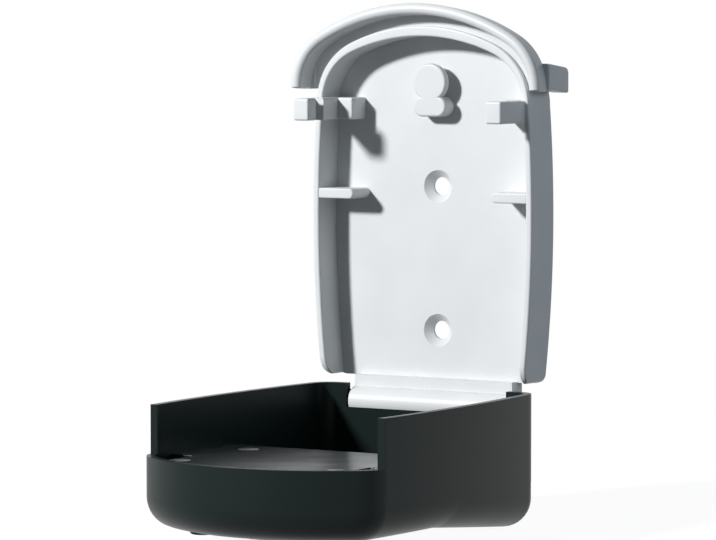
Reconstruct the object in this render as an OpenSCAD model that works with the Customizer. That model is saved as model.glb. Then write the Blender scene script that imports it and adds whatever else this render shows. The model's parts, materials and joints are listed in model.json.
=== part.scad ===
// Wall key safe: a die-cast body with a hinged cover that carries a push button lock.
// The back of the body lies in the plane Y = 0, the front faces -Y and Z points up.
// Depths are counted forward from the wall. The cover is drawn closed and then swung open.

/* [Body casting] */
// Width of the body at its widest
body_w = 63.2; // [56:0.2:72]
// How far each side draws in from its widest place to the foot
foot_taper = 2.3; // [0.6:0.1:6]
// Height of the widest place above the origin
belly_z = -3; // [-12:0.5:6]
// Height at which the arch springs from the sides
spring_z = 24.5; // [18:0.5:26]
// Rise of the arch above its springing
arch_rise = 19.6; // [17.6:0.2:22]
// Radius of the arch's shoulders
shoulder_r = 16.6; // [10:0.2:17.4]
// Depth of the side walls, from the wall plane to their front edge
body_depth = 11; // [9:0.2:11.2]
// Thickness of the back plate
plate_t = 2.4; // [1.8:0.1:3.2]
// Thickness of the side walls
wall_t = 1.7; // [1.2:0.1:2.4]
// Thickness of the arch wall
arch_t = 2.6; // [1.6:0.1:3]
// Radius of the two lower corners, seen from the front
foot_r = 2.5; // [2.3:0.1:4]
// Radius of the side walls' lower tips, seen from the side
wall_tip_r = 5; // [3:0.25:7]

/* [Hood] */
// Width over the hood
hood_w = 71.4; // [71:0.2:78]
// Height of the hood's two ends
hood_z = 28.7; // [28.4:0.1:31]
// Rise of the hood above its ends
hood_rise = 21; // [20.8:0.2:24]
// Radius of the hood's shoulders
hood_shoulder_r = 15.6; // [12:0.2:18]
// Thickness of the round bead along the hood's front edge
bead_t = 2.8; // [2:0.1:2.9]
// Depth of the hood's front edge from the wall plane
hood_depth = 15.6; // [14.5:0.1:18]
// Thickness of the web between the arch and the bead
web_t = 2.2; // [1.5:0.1:3]
// How far the web reaches into the arch wall
web_root = 1.55; // [0.6:0.05:1.6]
// Draft of the bead's inner side, at its root
bead_draft = 0.25; // [0.1:0.05:0.5]
// Height of the block at each end of the hood
end_block_h = 6.4; // [4:0.2:9]
// Width of the block at each end of the hood
end_block_w = 4.6; // [3.5:0.1:6]
// How far an end block drops towards the wall
end_block_drop = 1; // [0:0.1:1.2]
// Radius of an end block's upper corner at the wall
end_block_r = 1.6; // [0.5:0.1:2]

/* [Arms, ledges and hook] */
// Height of the arms' middle above the origin
arm_z = 23.25; // [18:0.25:26]
// Height of an arm
arm_h = 5.5; // [4.5:0.1:7]
// Width of an arm
arm_w = 4.4; // [3.8:0.1:6]
// Reach of an arm from the wall plane
arm_reach = 23; // [21.5:0.25:24]
// How far an arm stands inside the outline of the body
arm_inset = 0.8; // [0.7:0.1:1.2]
// Width of an arm's stepped root
arm_root_w = 8.6; // [6:0.2:11]
// Reach of an arm's stepped root from the wall plane
arm_root_reach = 9; // [6:0.2:10]
// Height of the ledges' middle above the origin
ledge_z = 2; // [-4:0.5:8]
// Length of a ledge, inward from the side wall
ledge_l = 10; // [6:0.5:14]
// Thickness of a ledge
ledge_t = 2.6; // [1.8:0.1:4]
// Height of the hook's stem above the origin
hook_z = 24; // [20:0.5:27]
// Width of the hook's stem
hook_w = 9.4; // [7:0.2:12]
// Height of the hook's stem
hook_h = 5; // [3.6:0.2:6]
// Radius of the hook's round tip
tip_r = 4.7; // [3.6:0.1:5.5]
// Thickness of the hook's round tip
tip_t = 2.2; // [1.4:0.1:3]
// Height of the round tip's centre above the stem
tip_rise = 6; // [4:0.25:7]
// Reach of the hook from the wall plane
hook_reach = 7; // [6:0.2:10]

/* [Wall fixing] */
// Height of the upper screw hole
screw_hole_z = 4; // [-4:0.5:10]
// Distance between the two screw holes
screw_spacing = 36; // [24:0.5:40]
// Diameter of a screw hole
screw_hole_d = 4.6; // [3.5:0.1:5.5]
// Diameter of the countersink
screw_sink_d = 8.2; // [6.5:0.1:9.5]

/* [Hinge] */
// Depth of the hinge axis from the wall plane
hinge_d = 5; // [4.4:0.1:6]
// Height of the hinge axis below the origin
hinge_drop = 50.3; // [47:0.1:54]
// Radius of the hinge barrel on the body
barrel_r = 3.6; // [3:0.1:4]
// Length of the hinge barrel
barrel_l = 45.6; // [36:0.2:46]
// Radius of the cover's hinge lugs
lug_r = 2.7; // [2.3:0.1:3.2]
// Width of a hinge lug
lug_w = 2.9; // [2:0.1:3.2]
// Radius of the hinge pin
pin_r = 1.3; // [0.9:0.05:1.6]
// Radial clearance of the pin in its bores
pin_fit = 0.04; // [0.02:0.01:0.08]
// Play between the barrel and a lug
lug_play = 0.35; // [0.3:0.05:0.6]

/* [Cover] */
// Thickness of the cover's side walls
cover_t = 1.9; // [1.4:0.1:2.4]
// Thickness of the cover's front
front_t = 2.2; // [1.6:0.1:2.6]
// Gap between the cover and the body all round
cover_gap = 0.45; // [0.35:0.05:0.8]
// Gap between the closed cover's rim and the wall plane
rim_gap = 0.5; // [0.4:0.1:1.5]
// Depth of the cover's arch rim from the wall plane
arch_rim = 12.3; // [11.8:0.1:13.2]
// Gap between the cover's arch rim and the hood's web
web_gap = 0.8; // [0.5:0.1:1.2]
// How far the cover's rim step lies below the hood's ends
step_drop = 2.5; // [1.8:0.1:4]
// Depth of the front face from the wall plane
cover_depth = 29.5; // [28.8:0.1:32]
// Rise of the cover's arch end above its springing
cover_rise = 16; // [15.6:0.2:18]
// Radius of the shoulders of the cover's arch end
cover_shoulder_r = 8.2; // [7:0.2:10]
// How far the lower panel leans out for each millimetre towards the foot
panel_lean = 0.1; // [0.05:0.01:0.12]
// How deep the lower panel's top edge lies in the front
panel_bury = 0.3; // [0.2:0.05:0.5]
// Height of the lower panel's top edge
panel_z = -1; // [-6:0.5:1]
// Radius of the front edge
front_r = 7.5; // [5:0.25:8]
// Radius of the two lower corners
corner_r = 6; // [4:0.25:8]
// Height of the cover's lower end above the hinge axis
foot_rise = 1.7; // [1:0.1:2.4]
// Gap that the swinging cover keeps from the body's foot
swing_gap = 0.5; // [0.3:0.1:1]

/* [Lock] */
// Height of the lock's lower end
lock_z = -7; // [-9:0.5:-6]
// Thickness of the lock back plate
shelf_t = 1.8; // [1.2:0.1:2.2]
// How far the back plate lies inside the arch rim
shelf_inset = 0.6; // [0.3:0.1:1.2]
// Thickness of the wall below the lock
sill_t = 1.6; // [1.2:0.1:2]
// Half the distance between the two button columns
column_x = 14.5; // [13.5:0.1:15.2]
// Height of the lowest button row
row_z = 1.6; // [1.6:0.2:3]
// Distance between button rows
row_pitch = 7.4; // [7.2:0.1:7.6]
// Radius of a button
button_r = 3.1; // [2.4:0.1:3.2]
// How far a button stands out of the front
button_proud = 0.4; // [0.3:0.1:1.6]
// Travel of a button
button_travel = 1.8; // [1:0.1:2]
// Width of the flange that stops a button in its bore
flange_lip = 0.5; // [0.3:0.1:0.6]
// Gap round a button in its bore
bore_gap = 0.12; // [0.08:0.02:0.2]
// Radius of the dish in a button's face
dish_r = 9; // [7:0.5:16]
// Depth of the dish in a button's face
dish = 0.35; // [0.2:0.05:0.5]
// Radius of a button's stem
stem_r = 1.2; // [0.8:0.1:1.3]
// Thickness of a return spring
spring_t = 0.3; // [0.2:0.05:0.4]
// Gap between a return spring and the button flanges
spring_seat = 0.05; // [0.04:0.01:0.08]
// How much narrower a return spring is than the flanges, on each side
spring_edge = 0.6; // [0.4:0.1:1]
// Clearance between sliding pieces
slide_gap = 0.3; // [0.25:0.05:0.45]
// Travel of the release tab and gate plate
release_travel = 4; // [3:0.25:4]
// Travel of a latch bolt
bolt_travel = 3; // [2.4:0.1:3]
// Height of a latch bolt
bolt_h = 3; // [2.2:0.1:3.4]
// Thickness of a latch bolt
bolt_t = 3; // [2.4:0.1:3.2]
// Distance of a latch bolt's inner end from the middle
bolt_root = 6; // [5:0.25:7]
// Radius of a latch bolt's drive pin
drive_r = 1.1; // [0.8:0.05:1.2]
// Thickness of the gate plate
gate_t = 1; // [0.8:0.05:1.2]
// Width of the gate plate outside its outermost slots
gate_edge = 2; // [1.2:0.1:2.4]
// Chamfer of the gate plate's upper corners
gate_chamfer = 2.8; // [2.6:0.1:3.2]
// Thickness of the bolt guide's base
guide_t = 1.1; // [0.8:0.1:1.3]
// Width of the bolt guide's rails
rail_w = 1.4; // [1:0.1:1.8]
// Width of the release tab
tab_w = 12; // [8:0.5:14]
// Height of the release tab
tab_h = 10; // [7:0.5:11]
// How far the release tab stands out of the front
tab_proud = 1.8; // [1.6:0.1:3.5]
// Height of the release tab's middle above the third button row
tab_lift = 2.8; // [2:0.1:3]
// Number of grooves across the release tab
grooves = 4; // [3:1:5]
// Half the width, and the depth, of a groove
groove = 0.5; // [0.3:0.05:0.6]
// Width of the release tab's neck
neck_w = 4; // [3.6:0.1:5]
// Height of the release tab's neck
neck_h = 4; // [3.6:0.1:5]
// Radius of the lock's screws
screw_r = 1.3; // [0.9:0.1:1.4]
// Length of a plate screw's shank below the back plate
shank = 6; // [4:0.25:7]
// Width of a screw's driver slot
driver_slot = 0.6; // [0.4:0.05:0.8]
// Radius of the tab screw's head
head_r = 2.3; // [1.9:0.1:2.6]
// Thickness of the tab screw's head
head_t = 1; // [0.8:0.1:1.4]
// Length of the tab screw's shank in the tab
tab_shank = 4; // [3:0.25:4.5]
// Wall of a screw boss
boss_wall = 1.1; // [0.9:0.1:1.4]
// Distance of the screw bosses from the gate plate
boss_gap = 1; // [0.8:0.1:1.2]

/* [Hidden] */

silver = [0.78, 0.80, 0.82];
black = [0.09, 0.10, 0.10];
steel = [0.62, 0.63, 0.65];
brass = [0.72, 0.60, 0.36];

$fn = 64;
// Overlap of shapes that are fused, and overrun of cuts
weld = 0.2;
over = 1;
far = 200;

// Body
hinge_z = -hinge_drop;
belly_half = body_w / 2;
foot_half = belly_half - foot_taper;
sweep_r = norm([hinge_d - rim_gap, foot_rise + cover_t]);
foot_z = hinge_z + sweep_r + swing_gap;
side_h = belly_z - foot_z;
side_sag = belly_half - foot_half;
side_r = (side_h * side_h + side_sag * side_sag) / (2 * side_sag);
side_steps = 8;
shoulder_steps = 5;
crown_steps = 12;
corner_steps = 4;
bead_steps = 6;

// Half width of the barrel-shaped outline at a height, grown outward by g
function side_x(z, g) = sqrt(pow(side_r + g, 2) - pow(z - belly_z, 2)) - side_r + belly_half;

// Three-centred arch from right to left: half span a, rise b, shoulder radius r, springing height z
function crown_r(a, b, r) = (pow(a - r, 2) + b * b - r * r) / (2 * (b - r));
function crown_turn(a, b, r) = atan2(a - r, crown_r(a, b, r) - b);
// Stops along the arch, each the centre, radius and angle of its arc
function arch_stops(a, b, r, z) =
    let (big = crown_r(a, b, r), turn = crown_turn(a, b, r), low = 90 - turn)
    concat(
        [for (i = [0 : shoulder_steps - 1]) [a - r, z, r, low * i / shoulder_steps]],
        [for (i = [0 : crown_steps]) [0, z + b - big, big, low + 2 * turn * i / crown_steps]],
        [for (i = [1 : shoulder_steps]) [r - a, z, r, 90 + turn + low * i / shoulder_steps]]
    );
// The point that lies a distance inside a stop
function inside(stop, u) = [stop[0] + (stop[2] - u) * cos(stop[3]), stop[1] + (stop[2] - u) * sin(stop[3])];
function arch(a, b, r, z) = [for (stop = arch_stops(a, b, r, z)) inside(stop, 0)];

// Outline of the body grown by g, cut at a foot height, with lower corners of radius c
function right_side(g, foot, top, c) = concat(
    [for (i = [0 : corner_steps - 1])
        let (t = -90 + 90 * i / corner_steps)
        [side_x(foot + c, g) - c + c * cos(t), foot + c + c * sin(t)]],
    [for (i = [0 : side_steps - 1]) let (z = foot + c + (top - foot - c) * i / side_steps) [side_x(z, g), z]]
);
function mirrored(points) = [for (i = [len(points) - 1 : -1 : 0]) [-points[i].x, points[i].y]];
function outline(g, foot, c, rise, shoulder) =
    let (side = right_side(g, foot, spring_z, c))
    concat(side, arch(side_x(spring_z, g), rise + g, shoulder + g, spring_z), mirrored(side));
function body_outline(g, foot, c) = outline(g, foot, c, arch_rise, shoulder_r);
function cover_outline(g, foot, c) = outline(g, foot, c, cover_rise, cover_shoulder_r);
function panel_outline(g, foot, c, top) =
    let (side = right_side(g, foot, top, c))
    concat(side, [[side_x(top, g), top], [-side_x(top, g), top]], mirrored(side));

// A flat shape in X and Z, given depth from one distance ahead of the wall to another
module slab(from, to) {
    translate([0, -from, 0]) rotate([90, 0, 0]) linear_extrude(to - from) children();
}

// A rod along the depth direction, and one along X
module rod(x, z, r, from, to) {
    translate([x, -from, z]) rotate([90, 0, 0]) cylinder(r = r, h = to - from);
}
module cross_rod(d, z, r, l) {
    translate([-l / 2, -d, z]) rotate([0, 90, 0]) cylinder(r = r, h = l);
}

// A box given by its ranges in X, depth and Z
module block(x, d, z) {
    translate([x[0], -d[1], z[0]]) cube([x[1] - x[0], d[1] - d[0], z[1] - z[0]]);
}

// A solid through rings of points, which all have as many points. Its two ends are closed by
// one face, or by a face up to the given point of a ring and one from there on.
module loft(rings, split = 0) {
    n = len(rings[0]);
    last = len(rings) - 1;
    points = [for (ring = rings) each ring];
    sides = [for (k = [0 : last - 1]) for (i = [0 : n - 1])
        let (j = (i + 1) % n, low = k * n, high = low + n)
        each [[low + i, high + i, high + j], [low + i, high + j, low + j]]];
    whole = [for (i = [0 : n - 1]) i];
    faces = split == 0 ? [whole] : [[for (i = [0 : split]) i], [for (i = [split : n]) i % n]];
    back = faces;
    front = [for (face = faces) [for (i = [len(face) - 1 : -1 : 0]) last * n + face[i]]];
    polyhedron(points, concat(sides, back, front), convexity = 6);
}
// A ring that is an outline in X and Z at a depth
function ring(depth, outline) = [for (p = outline) [p.x, -depth, p.y]];

module both_sides() {
    children();
    mirror([1, 0, 0]) children();
}

// Hood
hood_half = hood_w / 2;
bead_r = bead_t / 2;
bead_d = hood_depth - bead_r;
web_depth = arch_rim - web_gap;
web_reach = hood_z + hood_rise - spring_z - arch_rise + web_root;

// Arms
arm_out = side_x(spring_z, 0) - arm_inset;
arm_in = arm_out - arm_w;

// Cover
cover_out = cover_gap + cover_t;
cover_foot = hinge_z + foot_rise;
step_z = hood_z - step_drop;
cavity_front = cover_depth - front_t;
fillet_steps = 5;
least_corner = 0.6;
// How far the lower panel's sides lie inside the cover's sides
panel_edge = 0.05;

// Lock, by depth from the wall
shelf_back = arch_rim + shelf_inset;
shelf_front = shelf_back + shelf_t;
bolt_back = shelf_front + guide_t + slide_gap;
bolt_front = bolt_back + bolt_t;
stem_back = bolt_front + slide_gap + button_travel;
gate_back = stem_back + slide_gap;
gate_front = gate_back + gate_t;
flange_back = gate_front + slide_gap + button_travel;
flange_front = cavity_front - slide_gap;
flange_r = button_r + flange_lip;
spring_front = flange_back - spring_seat;
rows = 5;
top_row_z = row_z + (rows - 1) * row_pitch;
slot_r = stem_r + slide_gap;
gate_half = column_x + slot_r + gate_edge;
gate_low = row_z - release_travel - slot_r - gate_edge / 2;
gate_high = top_row_z + slot_r + gate_edge / 2;
bolt_tip = arm_in - 2 * slide_gap;
drive_x = bolt_root + 2 * drive_r;
notch_depth = bolt_travel - slide_gap;
neck_half = neck_w / 2;
tab_z = row_z + 2 * row_pitch + tab_lift;
boss_r = screw_r + boss_wall;
boss_x = gate_half + slide_gap + boss_r + boss_gap;
boss_low = row_z - boss_wall;
boss_high = top_row_z - boss_wall;
sink_r = 2 * screw_r;
sink_h = sink_r - screw_r;

// From the closed cover to the cover swung open by a quarter turn
module swung_open() {
    translate([0, -hinge_d, hinge_z]) rotate([90, 0, 0]) translate([0, hinge_d, -hinge_z]) children();
}

// Die-cast body
module rim_wall() {
    tip_d = body_depth - wall_tip_r;
    tip_z = foot_z + wall_tip_r;
    difference() {
        slab(0, body_depth) polygon(body_outline(0, foot_z, foot_r));
        slab(plate_t, body_depth + over) difference() {
            polygon(body_outline(-wall_t, foot_z - over, least_corner));
            difference() {
                translate([-far / 2, spring_z]) square([far, far]);
                polygon(arch(side_x(spring_z, -wall_t), arch_rise - arch_t, shoulder_r - arch_t, spring_z));
            }
        }
        // Rounded lower tips of the side walls
        difference() {
            block([-far / 2, far / 2], [tip_d, body_depth + over], [foot_z - over, tip_z]);
            cross_rod(tip_d, tip_z, wall_tip_r, far);
        }
    }
}

// Section of the hood, by distance inside its outline and depth: the web, and the bead that it flares out to
hood_section = concat(
    [[bead_t, web_depth - web_t], [web_reach, body_depth - web_t]],
    [[web_reach, body_depth - weld], [bead_t + bead_draft, web_depth]],
    [for (i = [0 : bead_steps])
        let (t = 180 * i / bead_steps)
        [bead_r + bead_r * cos(t), bead_d + bead_r * sin(t)]]
);

// Block that carries an end of the hood back to the wall
module end_block() {
    low = hood_z - end_block_drop;
    front = web_depth + weld;
    side = concat(
        [[0, low], [body_depth - web_t - weld, hood_z + weld]],
        [[front, hood_z + weld], [front, hood_z + end_block_h]],
        [for (i = [0 : corner_steps])
            let (t = 90 + 90 * i / corner_steps)
            [end_block_r + end_block_r * cos(t), low + end_block_h - end_block_r + end_block_r * sin(t)]]
    );
    translate([hood_half + weld - end_block_w, 0, 0]) rotate([90, 0, 90]) linear_extrude(end_block_w)
        polygon([for (p = side) [-p.x, p.y]]);
}

module hood() {
    loft([for (stop = arch_stops(hood_half, hood_rise, hood_shoulder_r, hood_z))
        [for (p = hood_section) let (at = inside(stop, p.x)) [at.x, -p.y, at.y]]], split = 3);
    both_sides() end_block();
}

module arm() {
    difference() {
        union() {
            block([arm_in, arm_out], [plate_t - weld, arm_reach], [arm_z - arm_h / 2, arm_z + arm_h / 2]);
            block(
                [arm_out - arm_root_w, arm_in + weld],
                [plate_t - weld, arm_root_reach],
                [arm_z - arm_h / 2, arm_z + arm_h / 2]
            );
        }
        // Notch that the latch bolt enters
        block(
            [arm_in - over, arm_in + notch_depth],
            [bolt_back - slide_gap, bolt_front + slide_gap],
            [arm_z - arm_h, arm_z + arm_h]
        );
    }
}

module hook() {
    spread = hook_w / 2 - hook_h / 2;
    rod(-spread, hook_z, hook_h / 2, plate_t - weld, hook_reach);
    rod(spread, hook_z, hook_h / 2, plate_t - weld, hook_reach);
    block([-spread, spread], [plate_t - weld, hook_reach], [hook_z - hook_h / 2, hook_z + hook_h / 2]);
    rod(0, hook_z + tip_rise, tip_r, hook_reach - tip_t, hook_reach);
}

module ledge() {
    end_r = ledge_t / 2;
    inner_x = side_x(ledge_z, -wall_t) - ledge_l + end_r;
    block(
        [inner_x, side_x(ledge_z, -wall_t) + weld],
        [plate_t - weld, body_depth - weld],
        [ledge_z - end_r, ledge_z + end_r]
    );
    rod(inner_x, ledge_z, end_r, plate_t - weld, body_depth - weld);
}

module hinge_barrel() {
    half = barrel_l / 2;
    cross_rod(hinge_d, hinge_z, barrel_r, barrel_l);
    block([-half, half], [0, hinge_d], [hinge_z, foot_z + weld]);
}

module body_casting() {
    color(silver) difference() {
        union() {
            rim_wall();
            hood();
            both_sides() arm();
            both_sides() ledge();
            hook();
            hinge_barrel();
        }
        cross_rod(hinge_d, hinge_z, pin_r + pin_fit, barrel_l + over);
        for (z = [screw_hole_z, screw_hole_z - screw_spacing]) {
            rod(0, z, screw_hole_d / 2, -over, plate_t + over);
            translate([0, -plate_t, z]) rotate([-90, 0, 0])
                cylinder(r1 = screw_sink_d / 2, r2 = screw_hole_d / 2, h = (screw_sink_d - screw_hole_d) / 2);
        }
    }
}

// Hinge pin, held between the cover's side walls
lug_in = barrel_l / 2 + lug_play;
lug_out = lug_in + lug_w;
module hinge_pin() {
    color(steel) cross_rod(hinge_d, hinge_z, pin_r, 2 * lug_out);
}

// Inset and depth of each ring of a front edge rounded by r
function fillet_inset(r, i) = r * (1 - cos(90 * i / fillet_steps));
function fillet_depth(to, r, i) = to - r + r * sin(90 * i / fillet_steps);

module rounded_block(g, foot, c, from, to, r) {
    loft(concat(
        [ring(from, cover_outline(g, foot, c))],
        [for (i = [0 : fillet_steps])
            let (inset = fillet_inset(r, i), corner = max(c - inset, least_corner))
            ring(fillet_depth(to, r, i), cover_outline(g - inset, foot + inset, corner))]
    ));
}

// Lower panel, whose front leans out towards the foot from just inside the front face
function leaned(ring) = [for (p = ring) [p.x, p.y + panel_bury + panel_lean * (p.z - panel_z), p.z]];
module rounded_panel(g, foot, c, top, from, to, r) {
    loft(concat(
        [ring(from, panel_outline(g, foot, c, top))],
        [for (i = [0 : fillet_steps])
            let (inset = fillet_inset(r, i), corner = max(c - inset, least_corner))
            leaned(ring(fillet_depth(to, r, i), panel_outline(g - inset, foot + inset, corner, top)))]
    ));
}

module hinge_lug() {
    translate([lug_in, -hinge_d, hinge_z]) rotate([0, 90, 0]) cylinder(r = lug_r, h = lug_w);
    block(
        [lug_in, lug_out],
        [hinge_d - lug_r / 2, hinge_d + lug_r],
        [hinge_z, cover_foot + cover_t]
    );
}

module cover_cavity() {
    inner_foot = cover_foot + cover_t;
    inner_corner = corner_r - cover_t;
    inner_r = front_r / 2;
    difference() {
        rounded_block(cover_gap, inner_foot, inner_corner, rim_gap - over, cavity_front, inner_r);
        // Sill below the lock
        block([-far, far], [shelf_front, far], [lock_z, lock_z + sill_t]);
        // Bosses for the plate screws
        for (z = [boss_low, boss_high]) both_sides() rod(boss_x, z, boss_r, shelf_front, far);
    }
    rounded_panel(
        cover_gap - panel_edge, inner_foot, inner_corner, lock_z - over,
        rim_gap + cover_t, cavity_front, inner_r
    );
}

module cover_body() {
    difference() {
        union() {
            rounded_block(cover_out, cover_foot, corner_r, rim_gap, cover_depth, front_r);
            rounded_panel(
                cover_out - panel_edge, cover_foot, corner_r, panel_z,
                rim_gap + cover_t, cover_depth, front_r
            );
        }
        cover_cavity();
        // Arch end, lowered to clear the hood
        block([-far, far], [rim_gap - over, arch_rim], [step_z, far]);
        // Room for the hinge barrel
        block([-lug_in, lug_in], [rim_gap - over, hinge_d], [cover_foot - over, cover_foot + cover_t + over]);
        cross_rod(hinge_d, hinge_z, barrel_r + slide_gap, 2 * lug_in);
    }
}

module cover_shell() {
    color(black) swung_open() difference() {
        union() {
            cover_body();
            both_sides() hinge_lug();
        }
        cross_rod(hinge_d, hinge_z, pin_r + pin_fit, 2 * lug_out + 2 * slide_gap);
        for (z = [boss_low, boss_high]) both_sides()
            rod(boss_x, z, screw_r, shelf_front - over, cavity_front - over);
        for (i = [0 : rows - 1]) both_sides() rod(
            column_x, row_z + i * row_pitch, button_r + bore_gap, cavity_front - over, cover_depth + over
        );
        block(
            [-neck_half - slide_gap, neck_half + slide_gap],
            [cavity_front - over, cover_depth + over],
            [tab_z - neck_h / 2 - slide_gap, tab_z + neck_h / 2 + release_travel + slide_gap]
        );
    }
}

// Lock back plate, with a cut at each side for the arms
module lock_back_plate() {
    swing_room = arm_reach * arm_reach / (2 * (arm_z - hinge_z)) + over;
    color(black) swung_open() difference() {
        slab(shelf_back, shelf_front) intersection() {
            polygon(cover_outline(cover_gap - slide_gap, cover_foot, corner_r));
            translate([-far / 2, lock_z]) square([far, far]);
        }
        both_sides() block(
            [arm_in - 2 * slide_gap, far],
            [shelf_back - over, shelf_front + over],
            [arm_z - arm_h / 2 - over, arm_z + arm_h / 2 + swing_room]
        );
        for (z = [boss_low, boss_high]) both_sides() {
            rod(boss_x, z, screw_r + pin_fit, shelf_back - over, shelf_front + over);
            translate([boss_x, -shelf_back, z]) rotate([90, 0, 0])
                cylinder(r1 = sink_r + pin_fit, r2 = screw_r + pin_fit, h = sink_h);
        }
    }
}

module plate_screws() {
    color(steel) swung_open() for (z = [boss_low, boss_high]) both_sides() difference() {
        union() {
            translate([boss_x, -shelf_back, z]) rotate([90, 0, 0])
                cylinder(r1 = sink_r, r2 = screw_r, h = sink_h);
            rod(boss_x, z, screw_r - pin_fit, shelf_back + sink_h / 2, shelf_front + shank);
        }
        block(
            [boss_x - far, boss_x + far],
            [shelf_back - over, shelf_back + sink_h / 3],
            [z - driver_slot / 2, z + driver_slot / 2]
        );
    }
}

// Gate plate: stems pass through its straight slots, and its slanted slots drive the bolts
module slot(x0, z0, x1, z1, r) {
    angle = atan2(z1 - z0, x1 - x0);
    rod(x0, z0, r, gate_back - over, gate_front + over);
    rod(x1, z1, r, gate_back - over, gate_front + over);
    translate([x0, -gate_front - over, z0]) rotate([0, -angle, 0]) translate([0, 0, -r])
        cube([norm([x1 - x0, z1 - z0]), gate_t + 2 * over, 2 * r]);
}

module gate_plate() {
    gate_side = [
        [gate_half, gate_low],
        [gate_half, gate_high - gate_chamfer],
        [gate_half - gate_chamfer, gate_high]
    ];
    color(steel) swung_open() difference() {
        slab(gate_back, gate_front) polygon(concat(gate_side, mirrored(gate_side)));
        for (i = [0 : rows - 1]) both_sides()
            slot(
                column_x, row_z + i * row_pitch,
                column_x, row_z + i * row_pitch - release_travel, slot_r
            );
        both_sides() slot(drive_x, arm_z, drive_x + bolt_travel, arm_z - release_travel, drive_r + slide_gap);
        rod(0, tab_z, screw_r + pin_fit, gate_back - over, gate_front + over);
    }
}

// Release tab: a ribbed thumb piece on the front, with a neck down to the gate plate
module release_tab() {
    groove_pitch = tab_h / (grooves + 1);
    color(black) swung_open() difference() {
        union() {
            block(
                [-neck_half, neck_half],
                [gate_front, cover_depth + over],
                [tab_z - neck_h / 2, tab_z + neck_h / 2]
            );
            block(
                [-tab_w / 2, tab_w / 2],
                [cover_depth + slide_gap, cover_depth + tab_proud],
                [tab_z - tab_h / 2, tab_z + tab_h / 2]
            );
        }
        for (i = [1 : grooves]) block(
            [-tab_w / 2 + over, tab_w / 2 - over],
            [cover_depth + tab_proud - groove, cover_depth + tab_proud + over],
            [tab_z - tab_h / 2 + i * groove_pitch - groove, tab_z - tab_h / 2 + i * groove_pitch + groove]
        );
        rod(0, tab_z, screw_r, gate_front - over, cover_depth - over);
    }
}

module tab_screw() {
    color(steel) swung_open() {
        rod(0, tab_z, head_r, gate_back - head_t, gate_back);
        rod(0, tab_z, screw_r - pin_fit, gate_back - weld, gate_front + tab_shank);
    }
}

// Latch bolts and the channel plate that guides them
module latch_bolt() {
    block([bolt_root, bolt_tip], [bolt_back, bolt_front], [arm_z - bolt_h / 2, arm_z + bolt_h / 2]);
    rod(drive_x, arm_z, drive_r, bolt_front - weld, gate_front);
}
module latch_bolt_left() {
    color(steel) swung_open() mirror([1, 0, 0]) latch_bolt();
}
module latch_bolt_right() {
    color(steel) swung_open() latch_bolt();
}

module bolt_guide() {
    half = bolt_h / 2 + slide_gap;
    reach = bolt_tip - bolt_travel / 3;
    color(brass) swung_open() {
        block(
            [-reach, reach],
            [shelf_front, shelf_front + guide_t],
            [arm_z - half - rail_w, arm_z + half + rail_w]
        );
        for (side = [-1, 1])
            block(
                [-reach, reach],
                [shelf_front + guide_t - weld, bolt_front],
                [
                    arm_z + side * (half + rail_w / 2) - rail_w / 2,
                    arm_z + side * (half + rail_w / 2) + rail_w / 2
                ]
            );
    }
}

// Leaf springs behind the two columns of buttons
module return_spring() {
    half = flange_r - spring_edge;
    low = row_z - flange_r;
    high = top_row_z + flange_r;
    difference() {
        block([column_x - half, column_x + half], [spring_front - spring_t, spring_front], [low, high]);
        for (i = [0 : rows - 1])
            rod(column_x, row_z + i * row_pitch, slot_r, gate_front, flange_back + over);
    }
}
module return_spring_left() {
    color(steel) swung_open() mirror([1, 0, 0]) return_spring();
}
module return_spring_right() {
    color(steel) swung_open() return_spring();
}

// Push buttons: 1 to 5 down the left column, 6 to 0 down the right one
module button(number) {
    place = (number + 9) % 10;
    x = place < rows ? -column_x : column_x;
    z = row_z + (rows - 1 - place % rows) * row_pitch;
    color(black) swung_open() difference() {
        union() {
            rod(x, z, button_r, flange_front - weld, cover_depth + button_proud);
            rod(x, z, flange_r, flange_back, flange_front);
            rod(x, z, stem_r, stem_back, flange_back + weld);
        }
        translate([x, -cover_depth - button_proud - dish_r + dish, z]) sphere(r = dish_r);
    }
}

body_casting();
hinge_pin();
cover_shell();
lock_back_plate();
plate_screws();
gate_plate();
release_tab();
tab_screw();
latch_bolt_left();
latch_bolt_right();
bolt_guide();
return_spring_left();
return_spring_right();
for (number = [0 : 9]) button(number);
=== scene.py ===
import json
import math

import bmesh
import bpy
from mathutils import Matrix, Vector


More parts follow.
